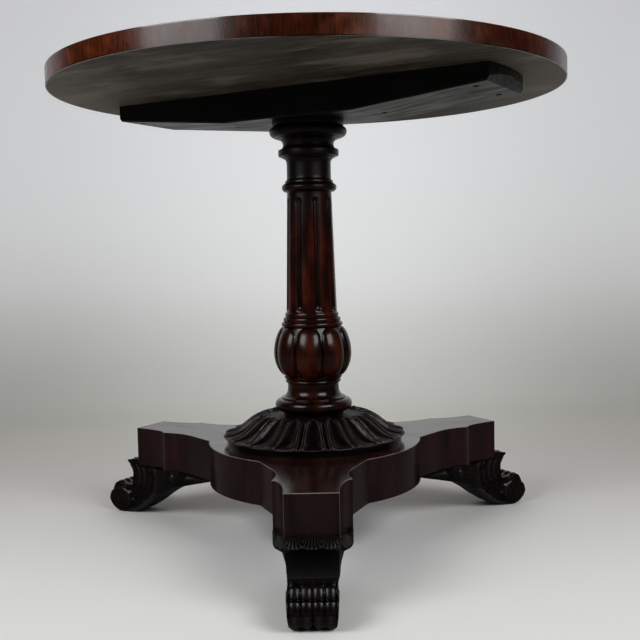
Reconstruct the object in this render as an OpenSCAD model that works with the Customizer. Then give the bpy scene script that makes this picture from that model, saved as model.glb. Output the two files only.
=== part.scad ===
// Round table on a turned pillar, a leaf-carved collar and a three-armed plinth with scroll feet.
// Millimetres, +Z up. The origin is on the floor under the pillar's axis.
// The front arm points to -Y, and the other two lie at 30 and 150 degrees.

/* [Top] */
// Diameter of the finished top
top_d = 796; // [700:1:900]
// Thickness of the core boards
board_h = 25; // [18:0.5:35]
// Number of core boards
board_count = 5; // [4:1:7]
// Thickness of the veneer on the upper face
veneer_h = 1.6; // [1:0.1:3]
// Thickness of the crossbanding round the rim
rim_t = 2; // [1.2:0.1:4]

/* [Bearer] */
// Length of the bearer at its middle line
bearer_l = 668; // [560:1:690]
// Width of the bearer
bearer_w = 140; // [120:1:180]
// Thickness of the bearer at its middle
bearer_h = 45.8; // [40:0.1:60]
// Thickness at the ends, above the end bevel
bearer_end_h = 11.5; // [8:0.5:16]
// Thickness where each wing meets its end bevel
bearer_wing_h = 25.4; // [20:0.1:34]
// Length of each end bevel
bearer_bevel = 10; // [4:0.5:20]
// Length of the flat middle of the underside
bearer_flat = 230; // [190:1:260]
// How far each end swells in plan past its corners
bearer_swell = 6; // [2:0.5:12]
// Direction of the bearer in plan, in degrees
bearer_angle = 150; // [120:1:180]
// Direction of the core boards in plan, in degrees
board_angle = 150; // [90:1:180]

/* [Pillar] */
// Radius of the tenons at the head and the foot
tenon_r = 24; // [18:0.5:28]
// Height of the moulded base, from the collar to the neck
base_h = 54; // [48:1:70]
// Radius of the base torus
base_r = 61.8; // [56:0.2:70]
// Radius of the neck between the base and the bulb
neck_r = 40.9; // [36:0.1:44]
// Height of the bulb
bulb_h = 88.5; // [80:0.5:110]
// Radius of the bulb at its fullest
bulb_r = 62.5; // [58:0.5:70]
// Radius of the small roll under the bulb
roll_r = 44.6; // [42:0.1:50]
// Radius of the bulb where the rings start
bulb_top_r = 50.6; // [48:0.1:54]
// Height of the three rings over the bulb
rings_h = 23; // [15:1:30]
// Height of the fluted shaft
shaft_h = 190.5; // [150:0.5:260]
// Radius of the shaft at its foot
shaft_foot_r = 40.4; // [38:0.1:43]
// Radius of the shaft at its head
shaft_head_r = 35.3; // [32:0.1:37]
// Height of the astragal with its fillet
astragal_h = 22.5; // [20:0.5:30]
// Radius of the astragal
astragal_r = 43.6; // [41:0.1:48]
// Height of the plain neck under the capital
plain_h = 23; // [15:1:40]
// Height of the capital, up to the bearer
capital_h = 65.7; // [58:0.1:80]
// Radius of the capital's lower band
band_r = 47.9; // [45:0.1:52]
// Radius of the capital's torus
cap_r = 61.4; // [57:0.2:66]
// Number of grooves and of bulb lobes
flute_count = 8; // [6:1:12]
// Radius of the cutter for the grooves
flute_r = 4.4; // [3:0.1:6]

/* [Collar] */
// Height of the plain ring under the collar
ring_h = 9.7; // [6:0.1:14]
// Radius of that ring
ring_r = 140; // [130:1:142]
// Height of the carved collar, up to the pillar's seat
collar_h = 32.4; // [26:0.2:40]
// Radius of the collar
collar_r = 146; // [143:1:149]
// Thickness of the collar's edge
collar_edge = 5; // [3:0.5:8]
// How far the leaf tips stand over the pillar's seat
leaf_lip = 2.8; // [1:0.2:5]
// Radius where the leaf tips start
leaf_tip_r = 76; // [70:1:84]
// Number of leaves round the collar
leaf_count = 20; // [12:1:20]
// Radius of the dish in each leaf
dish_r = 26; // [20:1:34]
// Depth of that dish
dish_depth = 3.5; // [2:0.5:5]

/* [Plinth] */
// Thickness of the plinth
plinth_h = 65.7; // [50:0.1:80]
// Distance from the axis to the end face of an arm
arm_l = 343.3; // [330:0.1:360]
// Half the width of an arm's end face
arm_end_v = 36; // [32:0.5:42]
// Half the width at the cusp
cusp_v = 54; // [50:0.5:60]
// Distance from the axis to the cusp
cusp_u = 271; // [262:1:280]
// Half the width at the narrowest place behind the cusp
waist_v = 50; // [44:0.5:53]
// Distance from the axis to that place
waist_u = 243; // [236:1:248]
// Distance from the axis to the corner between an arm and a lobe, along the arm
corner_u = 152; // [146:1:160]
// Distance from the arm's middle line to that corner
corner_v = 79.4; // [74:0.2:84]
// Distance from the axis to the middle of a lobe
lobe_reach = 167; // [163:0.5:180]
// Thickness of the veneer on the plinth's sides
side_t = 1.5; // [1:0.1:3]

/* [Feet] */
// Height of the feet under the plinth
foot_h = 92.6; // [80:0.1:110]
// How far the middle of the scroll lies past the arm's end
scroll_out = 41.7; // [34:0.1:48]
// Radius of the scroll
scroll_r = 25.2; // [22:0.1:28]
// Depth of the flat under the scroll
scroll_flat = 0.5; // [0.2:0.1:1]
// Number of reeds across the scroll
reed_count = 4; // [3:1:6]
// Radius of the grooves between the reeds
reed_cut = 3; // [2:0.5:4]
// Half the width of the foot at the floor
toe_v = 29.5; // [26:0.5:34]
// Half the width of the foot at its crest
crest_v = 41; // [38:0.5:44]
// How far the crest stands out from the arm's end
crest_out = 31; // [24:1:36]
// How far the crest rises past the plinth's underside
crest_rise = 6.5; // [3:0.5:12]
// Half the width across the side volutes
volute_v = 54; // [48:0.5:60]
// Length of the blocks with the volutes
volute_l = 64; // [50:1:70]
// Distance from the arm's end back to the eyes of the volutes
volute_back = 54.3; // [49:0.1:60]
// Depth of the volutes' blocks below the plinth, down to their eyes
volute_drop = 20; // [16:0.5:24]
// Radius of the rolls under the blocks
volute_r = 15; // [11:0.5:18]
// How far the throat behind the scroll lies past the arm's end
throat_out = 13.7; // [10:0.1:16]
// Radius of the throat's curve
throat_r = 26; // [22:0.5:32]
// Height of the crest's tip over the plinth's underside
crest_tip = 2.9; // [1:0.1:5]
// Distance from the arm's end back to the place where the underside turns into the tail
arch_back = 81.3; // [73:0.1:93]
// Height of that place
arch_z = 52.6; // [46:0.1:58]
// Distance from the arm's end back to the tail of a foot
tail_back = 165.3; // [144:0.1:178]
// Thickness of the tail
tail_h = 13; // [8:1:20]

/* [Fixings] */
// Clearance round tenons, dowels and screws
fit = 0.15; // [0.1:0.05:0.3]
// Radius of the dowels
dowel_r = 6; // [4:0.5:8]
// Length of each dowel
dowel_l = 40; // [28:1:46]
// Radius of the screw shanks
screw_r = 2.4; // [2:0.1:3.5]
// Radius of the screw heads
head_r = 4.8; // [4:0.1:7]
// Thickness of the wide end of each tenon wedge
wedge_t = 5; // [3:0.5:7]
// Length of each tenon wedge
wedge_l = 34; // [24:1:40]

/* [Hidden] */
ARMS = ["front", "right", "left"];
LOBES = ["front_right", "back", "front_left"];
BOARDS = [for (i = [1:board_count]) str("top_board_", i)];
// Directions of the joints in the rim's crossbanding, which are uneven like those at the front
rim_joints = [-116, -84, -63, -2, 46, 93, 141, 192];
RIMS = [for (i = [1:len(rim_joints)]) str("rim_veneer_", i)];
$fn = 72;
turn = 360 / 3;
front = -90;
// Turn of the lobes and the panels of the pillar from the front
pillar_turn = -6;

// Heights, from the floor up
plinth_z = foot_h;
ring_z = plinth_z + plinth_h;
collar_z = ring_z + ring_h;
pillar_z = collar_z + collar_h;
bulb_z = pillar_z + base_h;
rings_z = bulb_z + bulb_h;
shaft_z = rings_z + rings_h;
astragal_z = shaft_z + shaft_h;
plain_z = astragal_z + astragal_h;
capital_z = plain_z + plain_h;
bearer_z = capital_z + capital_h;
top_z = bearer_z + bearer_h;
veneer_z = top_z + board_h;

// Points of the outlines
core_r = top_d / 2 - rim_t;
corner_r = norm([corner_u, corner_v]);
corner_a = atan(corner_v / corner_u);
apex_u = corner_u - corner_v / tan(turn / 2);
lobe_x = corner_r * cos(turn / 2 - corner_a);
lobe_y = corner_r * sin(turn / 2 - corner_a);
lobe_r = (pow(lobe_y, 2) + pow(lobe_reach - lobe_x, 2)) / (2 * (lobe_reach - lobe_x));

// Half-ellipse that swells from r0 to r1 between the heights z0 and z1
function bead(r0, r1, z0, z1) = [
    for (a = [-90:15:90]) [r0 + (r1 - r0) * cos(a), (z0 + z1) / 2 + (z1 - z0) / 2 * sin(a)]
];

// Quarter-ellipse from p to q, level at p where flat is 1 and upright at p where it is 0
function quarter(p, q, flat) = [
    for (a = [0:15:90]) flat == 1
        ? [p[0] + (q[0] - p[0]) * sin(a), p[1] + (q[1] - p[1]) * (1 - cos(a))]
        : [p[0] + (q[0] - p[0]) * (1 - cos(a)), p[1] + (q[1] - p[1]) * sin(a)]
];

// Circular arc from the fullest place (r1, z1) to (r0, z0), as a list from one to the other
function belly(r1, z1, r0, z0) =
    let (h = z0 - z1, s = r1 - r0, rho = (h * h + s * s) / (2 * s))
    [for (i = [0:8]) let (z = h * i / 8) [r1 - rho + sqrt(rho * rho - z * z), z1 + z]];

function reversed(list) = [for (i = [len(list) - 1:-1:0]) list[i]];

// The pillar's outline from its seat on the collar to the bearer
bulb_mid = bulb_z + 0.53 * bulb_h;
seat_r = 47.7;
pillar_outline = concat(
    [[0, pillar_z], [seat_r, pillar_z]],
    quarter([seat_r, pillar_z + 1.5], [base_r - 8.8, pillar_z + 8.5], 0),
    bead(base_r - 8.8, base_r, pillar_z + 8.5, pillar_z + 27.5),
    [[base_r - 10.3, pillar_z + 27.5], [base_r - 10.3, pillar_z + 30]],
    quarter([base_r - 11.3, pillar_z + 30.5], [neck_r, pillar_z + 46], 1),
    [[neck_r, pillar_z + base_h - 1]],
    bead(neck_r + 0.6, roll_r, bulb_z - 1, bulb_z + 5),
    reversed(belly(bulb_r, bulb_mid, roll_r - 1, bulb_z + 5)),
    belly(bulb_r, bulb_mid, bulb_top_r, rings_z),
    [for (i = [0:2], p = bead(bulb_top_r - 3.6 - 3.1 * i, bulb_top_r - 1.6 - 3.1 * i,
        rings_z + rings_h / 3 * i, rings_z + rings_h / 3 * (i + 1))) p],
    [[shaft_foot_r, shaft_z], [shaft_head_r, astragal_z]],
    bead(shaft_head_r + 1, astragal_r, astragal_z + 0.5, astragal_z + 14.5),
    [[astragal_r - 5.3, astragal_z + 14.5], [astragal_r - 5.8, astragal_z + 18.5]],
    quarter([astragal_r - 6.3, astragal_z + 18.5], [shaft_head_r - 0.3, plain_z], 1),
    reversed(quarter([band_r - 6, capital_z + 8.5], [shaft_head_r - 0.3, capital_z], 1)),
    [[band_r - 6, capital_z + 10], [band_r - 1, capital_z + 11], [band_r, capital_z + 12.5]],
    [[band_r, capital_z + 20.5], [band_r - 1, capital_z + 21.5]],
    quarter([band_r - 2.5, capital_z + 22], [band_r - 7.8, capital_z + 29], 1),
    quarter([band_r - 7.8, capital_z + 29], [cap_r - 10.5, capital_z + 39], 0),
    bead(cap_r - 10.5, cap_r, capital_z + 40, capital_z + 58.5),
    [[cap_r - 5.2, capital_z + 58.5], [cap_r - 4.8, bearer_z], [0, bearer_z]]
);

// The collar's outline: an ogee from the leaf tips down to the edge
ogee_in = leaf_tip_r + 6;
ogee_out = collar_r - 4;
collar_outline = concat(
    [[tenon_r + fit, collar_z], [collar_r - 1.5, collar_z], [collar_r, collar_z + 1.5]],
    [[collar_r, collar_z + collar_edge - 1.5]],
    [for (i = [0:16]) let (s = 1 - i / 16) [
        ogee_in + (ogee_out - ogee_in) * s,
        collar_z + collar_edge + (collar_h + leaf_lip - collar_edge) * (1 + cos(180 * s)) / 2
    ]],
    [[leaf_tip_r + 2, pillar_z + leaf_lip], [leaf_tip_r, pillar_z], [tenon_r + fit, pillar_z]]
);

// Plan of one side of an arm, from the corner with a lobe to the end face, t inside the surface.
// It is a straight run, a concave arc, the cusp and an elliptical hollow.
waist_r = (pow(cusp_u - waist_u, 2) + pow(cusp_v - waist_v, 2)) / (2 * (cusp_v - waist_v));
waist_to_corner = [waist_u - corner_u, waist_v + waist_r - corner_v];
run_a = atan(waist_to_corner[0] / waist_to_corner[1]) - acos(waist_r / norm(waist_to_corner));
cusp_a = asin((cusp_u - waist_u) / waist_r);
function arm_side(t) = concat(
    [[corner_u - t / tan(turn / 2), corner_v - t]],
    [for (i = [0:8]) let (a = -run_a + (run_a + cusp_a) * i / 8)
        [waist_u + waist_r * sin(a) - (i == 8 ? t : 0), waist_v + waist_r * (1 - cos(a)) - t]],
    [for (i = [1:10]) let (a = 9 * i) [
        cusp_u + (arm_l - cusp_u) * (1 - cos(a)) - t * (i == 10 ? 1 : cos(a)),
        cusp_v - (cusp_v - arm_end_v) * sin(a) - t * sin(a)
    ]]
);

// Side view of a foot as [distance from the axis, height]: the top and the crest, the throat,
// and the underside that rises from the scroll to the volutes and on to the tail
gap = 0.3;
scroll_u = arm_l + scroll_out;
volute_u = arm_l - volute_back;
throat_u = arm_l + throat_out;
arch_u = arm_l - arch_back;
tail_u = arm_l - tail_back;
scroll_z = scroll_r - scroll_flat;
volute_z = foot_h - volute_drop;
crest_u = arm_l + crest_out;
throat_tip_a = acos((throat_u + throat_r - crest_u) / throat_r);
throat_z = foot_h + crest_tip - throat_r * sin(throat_tip_a);
toe_u = scroll_u - scroll_r / 2;
toe_z = 4;
foot_side = concat(
    [[tail_u, foot_h], [arm_l + gap, foot_h], [arm_l + gap, foot_h + crest_rise]],
    [for (i = [0:8]) let (a = 180 - throat_tip_a + (throat_tip_a + 45) * i / 8)
        [throat_u + throat_r * (1 + cos(a)), throat_z + throat_r * sin(a)]],
    [[scroll_u - scroll_r / 3, scroll_z + scroll_r * 0.8], [scroll_u, scroll_z], [toe_u, toe_z]],
    [for (i = [1:8]) let (s = i / 8) [toe_u + (arch_u - toe_u) * s, toe_z + (arch_z - toe_z) * pow(s, 1.8)]],
    [[tail_u, foot_h - tail_h]]
);

// Places of the fixings
screw_inset = 34;
screw_pitch = bearer_l - 2 * screw_inset;
screw_spread = 90;
middle_pitch = 270;
foot_screw_u = arm_l - 117.3;
foot_screw_z = foot_h - 23;
foot_screw_l = 60;
foot_dowel_u = [arm_l - 55.3, arm_l - 21.3];
end_screw_z = bearer_z + 21;
end_screw_l = 38;
middle_screw_z = bearer_z + 8;
middle_screw_l = 51;
chamfer = 2.3;

module at_arm(i) {
    rotate(front + turn * i) children();
}

module at_lobe(i) {
    rotate(front + turn * (i + 0.5)) children();
}

module at_end_screws() {
    for (x = [-1, 1], y = [-1, 1])
        rotate(bearer_angle) translate([x * screw_pitch / 2, y * screw_spread / 2, end_screw_z]) children();
}

module at_middle_screws() {
    for (x = [-1, 1])
        rotate(bearer_angle) translate([x * middle_pitch / 2, 0, middle_screw_z]) children();
}

// Two dowels in each of the two faces between an arm and its neighbours
module at_arm_dowels() {
    for (i = [0:2], side = [-1, 1], k = [-1, 1])
        at_arm(i)
            translate([(apex_u + corner_u) / 2, side * corner_v / 2, plinth_z + plinth_h * (0.5 + k * 0.2)])
                rotate([0, 90, -side * turn / 4]) translate([0, 0, -dowel_l / 2]) children();
}

module at_foot_dowels(i) {
    for (u = foot_dowel_u) at_arm(i) translate([u, 0, foot_h - dowel_l / 2]) children();
}

module dowel(grow) {
    translate([0, 0, -grow]) cylinder(dowel_l + 2 * grow, dowel_r + grow, dowel_r + grow);
}

// Wood screw with its head down and its point up, the head's face at z = 0
module screw(length) {
    cylinder(1, head_r, head_r);
    translate([0, 0, 1]) cylinder(head_r - screw_r, head_r, screw_r);
    cylinder(length, screw_r, screw_r);
}

// The space that such a screw takes, with its counterbore below
module screw_hole(length, depth) {
    translate([0, 0, -depth]) cylinder(depth + 1, head_r + fit, head_r + fit);
    translate([0, 0, 1]) cylinder(head_r - screw_r, head_r + fit, screw_r + fit);
    cylinder(length + fit, screw_r + fit, screw_r + fit);
}

// Wedge across a tenon, its wide end at z = 0 and its thin end below
module wedge(clear) {
    rotate([90, 0, 0]) linear_extrude(2 * tenon_r + 2, center = true) polygon([
        [-wedge_t / 2 + clear, clear - fit], [wedge_t / 2 - clear, clear - fit],
        [wedge_t / 6 - clear / 2, -wedge_l + clear], [-wedge_t / 6 + clear / 2, -wedge_l + clear]
    ]);
}

module top_board(i) {
    w = 2 * core_r / board_count;
    color("peru") difference() {
        intersection() {
            translate([0, 0, top_z]) cylinder(board_h, core_r, core_r, $fn = 180);
            rotate(board_angle) translate([-core_r - 1, -core_r + w * i, top_z]) cube([2 * core_r + 2, w, board_h]);
        }
        at_end_screws() screw_hole(end_screw_l, 1);
        at_middle_screws() screw_hole(middle_screw_l, 1);
    }
}

module top_veneer() {
    color("saddlebrown") translate([0, 0, veneer_z]) cylinder(veneer_h, top_d / 2, top_d / 2, $fn = 180);
}

module rim_veneer(i) {
    last = i == len(rim_joints) - 1;
    a0 = rim_joints[i];
    a1 = last ? rim_joints[0] + 360 : rim_joints[i + 1];
    color("sienna") rotate(a0) rotate_extrude(angle = a1 - a0, $fn = 360)
        translate([core_r + fit, top_z]) square([rim_t - fit, board_h]);
}

// The bearer's side view, cut to its plan with swelled ends
module bearer() {
    half = bearer_l / 2;
    flat = bearer_flat / 2;
    bevel_u = half - bearer_bevel;
    wing_z = top_z - bearer_wing_h;
    plan_r = (pow(bearer_swell, 2) + pow(bearer_w / 2, 2)) / (2 * bearer_swell);
    wing_a = atan((wing_z - bearer_z) / (bevel_u - flat));
    wing_l = norm([bevel_u - flat, wing_z - bearer_z]);
    side = [
        [flat, bearer_z], [bevel_u, wing_z], [half, top_z - bearer_end_h], [half, top_z]
    ];
    color("#4a2b1e") difference() {
        rotate(bearer_angle) intersection() {
            rotate([90, 0, 0]) linear_extrude(bearer_w, center = true)
                polygon(concat(side, reversed([for (p = side) [-p[0], p[1]]])));
            translate([plan_r - half, 0, bearer_z - 1]) cylinder(bearer_h + 2, plan_r, plan_r, $fn = 180);
            translate([half - plan_r, 0, bearer_z - 1]) cylinder(bearer_h + 2, plan_r, plan_r, $fn = 180);
        }
        rotate(bearer_angle) for (y = [-1, 1]) translate([0, y * bearer_w / 2, bearer_z]) {
            edge_cut(bearer_flat);
            translate([flat, 0, 0]) rotate([0, -wing_a, 0]) translate([wing_l / 2, 0, 0]) edge_cut(wing_l);
            translate([-flat, 0, 0]) rotate([0, wing_a, 0]) translate([-wing_l / 2, 0, 0]) edge_cut(wing_l);
        }
        translate([0, 0, bearer_z - 1]) cylinder(bearer_h + 2, tenon_r + fit, tenon_r + fit);
        at_end_screws() screw_hole(end_screw_l, bearer_h);
        at_middle_screws() screw_hole(middle_screw_l, bearer_h);
    }
}

module edge_cut(length) {
    rotate([45, 0, 0]) cube([length, chamfer * sqrt(2), chamfer * sqrt(2)], center = true);
}

module bearer_end_screws() {
    color("dimgray") at_end_screws() screw(end_screw_l);
}

module bearer_middle_screws() {
    color("dimgray") at_middle_screws() screw(middle_screw_l);
}

module bearer_wedge() {
    color("burlywood") intersection() {
        translate([0, 0, top_z]) rotate(bearer_angle + 90) wedge(fit);
        translate([0, 0, bearer_z]) cylinder(bearer_h, tenon_r, tenon_r);
    }
}

module plinth_wedge() {
    color("burlywood") intersection() {
        translate([0, 0, plinth_z]) mirror([0, 0, 1]) wedge(fit);
        translate([0, 0, plinth_z]) cylinder(plinth_h, tenon_r, tenon_r);
    }
}

// A groove down the shaft, round at both ends and following its taper
module flute() {
    z0 = shaft_z + 9;
    z1 = astragal_z - 9;
    slope = (shaft_foot_r - shaft_head_r) / shaft_h;
    r0 = shaft_foot_r - slope * 9 + 0.8;
    lean = atan(slope);
    run = (z1 - z0) / cos(lean);
    translate([r0, 0, z0]) rotate([0, -lean, 0]) {
        cylinder(run, flute_r, flute_r);
        sphere(flute_r);
        translate([0, 0, run]) sphere(flute_r);
    }
}

// A valley between two lobes of the bulb: a bent rod that follows its meridian
module valley() {
    bend_r = 76;
    rod_r = 9;
    translate([bulb_r + 3.5 - bend_r, 0, bulb_mid - 2]) rotate([90, 0, 0]) rotate(-38)
        rotate_extrude(angle = 76) translate([bend_r, 0]) circle(rod_r);
}

module pillar() {
    color("#3a1712") difference() {
        union() {
            rotate_extrude() polygon(pillar_outline);
            translate([0, 0, plinth_z]) cylinder(pillar_z - plinth_z + 1, tenon_r, tenon_r);
            translate([0, 0, bearer_z - 1]) cylinder(bearer_h + 1, tenon_r, tenon_r);
        }
        for (i = [0:flute_count - 1])
            rotate(front + pillar_turn + 360 / flute_count * (i + 0.5)) {
                flute();
                valley();
            }
        translate([0, 0, top_z]) rotate(bearer_angle + 90) wedge(0);
        translate([0, 0, plinth_z]) mirror([0, 0, 1]) wedge(0);
    }
}

module collar() {
    slope = 90 * PI / 180 * (collar_h + leaf_lip - collar_edge) / (ogee_out - ogee_in);
    steep = atan(slope);
    color("#3d1a12") difference() {
        rotate_extrude($fn = 144) polygon(collar_outline);
        for (i = [0:leaf_count - 1])
            rotate(front + 360 / leaf_count * i)
                translate([(ogee_in + ogee_out) / 2, 0, collar_z + (collar_h + leaf_lip + collar_edge) / 2])
                    rotate([0, steep, 0]) translate([0, 0, dish_r - dish_depth]) sphere(dish_r);
    }
}

module collar_ring() {
    color("#2b120d") translate([0, 0, ring_z]) difference() {
        cylinder(ring_h, ring_r, ring_r, $fn = 144);
        translate([0, 0, -1]) cylinder(ring_h + 2, tenon_r + fit, tenon_r + fit);
    }
}

module plinth_block(i) {
    color("#4a2418") difference() {
        at_lobe(i) translate([0, 0, plinth_z]) linear_extrude(plinth_h) intersection() {
            polygon([
                [0, 0], [apex_u * cos(turn / 2), -apex_u * sin(turn / 2)], [lobe_x, -lobe_y],
                [lobe_reach, -lobe_y], [lobe_reach, lobe_y],
                [lobe_x, lobe_y], [apex_u * cos(turn / 2), apex_u * sin(turn / 2)]
            ]);
            translate([lobe_reach - lobe_r, 0]) circle(lobe_r - side_t, $fn = 180);
        }
        translate([0, 0, plinth_z - 1]) cylinder(plinth_h + 2, tenon_r + fit, tenon_r + fit);
        at_arm_dowels() dowel(fit);
    }
}

module lobe_veneer(i) {
    color("#5a2a1a") at_lobe(i) translate([0, 0, plinth_z]) linear_extrude(plinth_h) intersection() {
        translate([lobe_reach - lobe_r, 0]) difference() {
            circle(lobe_r, $fn = 180);
            circle(lobe_r - side_t, $fn = 180);
        }
        translate([0, -lobe_y]) square([lobe_reach + 1, 2 * lobe_y]);
    }
}

// Plan of an arm from its V-shaped inner end, t inside its veneered surface
module arm_plan(t) {
    side = arm_side(t);
    polygon(concat([[apex_u, 0]], side, reversed([for (p = side) [p[0], -p[1]]])));
}

module plinth_arm(i) {
    color("#4f271a") difference() {
        at_arm(i) translate([0, 0, plinth_z]) linear_extrude(plinth_h) arm_plan(side_t);
        at_arm_dowels() dowel(fit);
        at_foot_dowels(i) dowel(fit);
        at_foot_screw(i) screw_hole(foot_screw_l, 1);
    }
}

module end_veneer(i) {
    color("#5c2c1b") at_arm(i) translate([arm_l - side_t, -arm_end_v, plinth_z])
        cube([side_t, 2 * arm_end_v, plinth_h]);
}

// The two sheets on an arm's hollowed sides, each closed along the back of its end veneer
module side_veneers(i) {
    outer = arm_side(0);
    inner = arm_side(side_t);
    last = len(outer) - 1;
    sheet = concat(
        [for (k = [0:last - 1]) outer[k]], [[arm_l - side_t, outer[last][1]]],
        [for (k = [last:-1:0]) inner[k]]
    );
    color("#552818") at_arm(i) translate([0, 0, plinth_z]) linear_extrude(plinth_h) {
        polygon(sheet);
        mirror([0, 1]) polygon(sheet);
    }
}

module arm_dowels() {
    color("tan") at_arm_dowels() dowel(0);
}

module foot_dowels() {
    color("tan") for (i = [0:2]) at_foot_dowels(i) dowel(0);
}

module at_foot_screw(i) {
    at_arm(i) translate([foot_screw_u, 0, foot_screw_z]) children();
}

module foot_screws() {
    color("dimgray") for (i = [0:2]) at_foot_screw(i) screw(foot_screw_l);
}

// A foot: its side view cut to a tapering front view, with a round scroll in front
// and a wider part with volutes behind
module foot(i) {
    reed_w = 2 * toe_v / reed_count;
    widen = (crest_v - toe_v) / foot_h;
    far = crest_u + 60;
    color("#35150f") difference() {
        at_arm(i) {
            intersection() {
                rotate([90, 0, 0]) linear_extrude(4 * crest_v, center = true) {
                    polygon(foot_side);
                    translate([scroll_u, scroll_z]) circle(scroll_r);
                }
                rotate([90, 0, 90]) linear_extrude(far) polygon([
                    [-toe_v, 0], [toe_v, 0],
                    [toe_v + widen * 2 * foot_h, 2 * foot_h], [-toe_v - widen * 2 * foot_h, 2 * foot_h]
                ]);
                translate([tail_u, -far / 2, 0]) cube([far, far, far]);
            }
            volutes();
        }
        at_arm(i) for (k = [1:reed_count - 1])
            translate([scroll_u, -toe_v + reed_w * k, scroll_z]) rotate([90, 0, 0]) rotate(-74)
                rotate_extrude(angle = 194) translate([scroll_r + 1, 0]) circle(reed_cut);
        at_foot_dowels(i) dowel(fit);
        at_foot_screw(i) screw_hole(foot_screw_l, foot_h / 2);
    }
}

// The block with the side volutes, under the hollow of the arm
module volutes() {
    ahead = volute_u + volute_l / 2;
    back = volute_u - volute_l / 2;
    ease = 4;
    slant = 24;
    roll_v = volute_v - 7;
    side = [
        [back - slant, crest_v - ease], [back, volute_v - ease], [back + 2 * ease, volute_v],
        [ahead - 2 * ease, volute_v], [ahead, volute_v - ease], [ahead + slant, crest_v - ease]
    ];
    translate([0, 0, volute_z]) linear_extrude(volute_drop)
        polygon(concat(side, reversed([for (p = side) [p[0], -p[1]]])));
    translate([volute_u, 0, volute_z]) rotate([90, 0, 0])
        cylinder(2 * roll_v, volute_r, volute_r, center = true);
}

for (i = [0:board_count - 1]) top_board(i);
top_veneer();
for (i = [0:len(RIMS) - 1]) rim_veneer(i);
bearer();
bearer_end_screws();
bearer_middle_screws();
bearer_wedge();
pillar();
plinth_wedge();
collar();
collar_ring();
arm_dowels();
foot_dowels();
foot_screws();
for (i = [0:2]) plinth_block(i);
for (i = [0:2]) lobe_veneer(i);
for (i = [0:2]) plinth_arm(i);
for (i = [0:2]) end_veneer(i);
for (i = [0:2]) side_veneers(i);
for (i = [0:2]) foot(i);
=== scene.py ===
# Round mahogany table: turned and lobed pillar, leaf-carved collar, three-armed plinth on scroll feet.
# Blender works in metres. The sizes below are millimetres, and mm turns them into metres.
import bpy
import numpy as np
from mathutils import Matrix, Vector


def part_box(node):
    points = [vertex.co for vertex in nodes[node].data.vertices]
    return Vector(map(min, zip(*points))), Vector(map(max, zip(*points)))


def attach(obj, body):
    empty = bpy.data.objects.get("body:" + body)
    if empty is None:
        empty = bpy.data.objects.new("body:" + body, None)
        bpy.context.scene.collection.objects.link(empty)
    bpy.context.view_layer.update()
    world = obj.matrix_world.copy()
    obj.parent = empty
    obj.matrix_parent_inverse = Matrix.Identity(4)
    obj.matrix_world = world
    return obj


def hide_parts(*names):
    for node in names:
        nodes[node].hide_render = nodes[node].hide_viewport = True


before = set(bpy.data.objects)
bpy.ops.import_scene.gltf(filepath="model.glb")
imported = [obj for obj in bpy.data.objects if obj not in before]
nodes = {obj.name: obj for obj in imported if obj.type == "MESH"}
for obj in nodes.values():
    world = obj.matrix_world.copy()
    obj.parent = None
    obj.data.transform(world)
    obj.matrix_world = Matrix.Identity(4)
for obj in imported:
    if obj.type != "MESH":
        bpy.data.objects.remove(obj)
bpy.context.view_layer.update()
scene = bpy.context.scene
scene.view_settings.view_transform = "Standard"
mm = 0.001


def corners(node):
    # lowest and highest corner of a node, in millimetres
    low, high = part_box(node)
    return np.array(low) / mm, np.array(high) / mm


# Levels that the pieces share, read from the frame
footTop = corners("plinth_block_back")[0][2]
plinthTop = corners("plinth_block_back")[1][2]
collarLow, collarHigh = corners("collar")[0][2], corners("collar")[1][2]
bearerLow = corners("bearer")[0][2]
boardLow = corners("top_board_3")[0][2]
armAngles = {"front": -90, "right": 30, "left": 150}


# Shapes worked out with numpy

def beadCurve(inner, outer, low, high):
    # half-ellipse that swells from the radius inner to outer between two heights
    a = np.radians(np.arange(-90, 91, 10))
    return np.stack([inner + (outer - inner) * np.cos(a), (low + high) / 2 + (high - low) / 2 * np.sin(a)], 1)


def quarterCurve(start, end, level):
    # quarter-ellipse from start to end, level at the start or else upright there
    a = np.radians(np.arange(0, 91, 10))
    across, along = np.sin(a), 1 - np.cos(a)
    if not level:
        across, along = along, across
    return np.stack([start[0] + (end[0] - start[0]) * across, start[1] + (end[1] - start[1]) * along], 1)


def bellyCurve(fullest, end):
    # circular arc that is upright at its fullest place and runs to the end
    height, sink = end[1] - fullest[1], fullest[0] - end[0]
    radius = (height ** 2 + sink ** 2) / (2 * sink)
    z = height * np.linspace(0, 1, 13)
    return np.stack([fullest[0] - radius + np.sqrt(radius ** 2 - z ** 2), fullest[1] + z], 1)


def arcCurve(centre, radius, start, end):
    # circular arc between two angles in degrees
    a = np.radians(np.linspace(start, end, 25))
    return np.stack([centre[0] + radius * np.cos(a), centre[1] + radius * np.sin(a)], 1)


def ease(value, low, high):
    # 0 below low, 1 above high, and a smooth S between them
    t = np.clip((value - low) / (high - low), 0, 1)
    return t * t * (3 - 2 * t)


def hump(value, middle, width):
    # bell curve of height 1
    return np.exp(-((value - middle) / width) ** 2)


def blurAlong(values, sigma, wrap=False):
    # gaussian blur along the first axis, sigma in samples
    reach = int(3 * sigma) + 1
    kernel = np.exp(-0.5 * (np.arange(-reach, reach + 1) / sigma) ** 2)
    kernel /= kernel.sum()
    pad = [(reach, reach)] + [(0, 0)] * (values.ndim - 1)
    padded = np.pad(values, pad, mode="wrap" if wrap else "edge")
    return sum(weight * padded[k:k + len(values)] for k, weight in enumerate(kernel))


def lengthAlong(curve):
    # running length of a curve at each of its points
    return np.concatenate([[0], np.cumsum(np.linalg.norm(np.diff(curve, axis=0), axis=1))])


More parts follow.
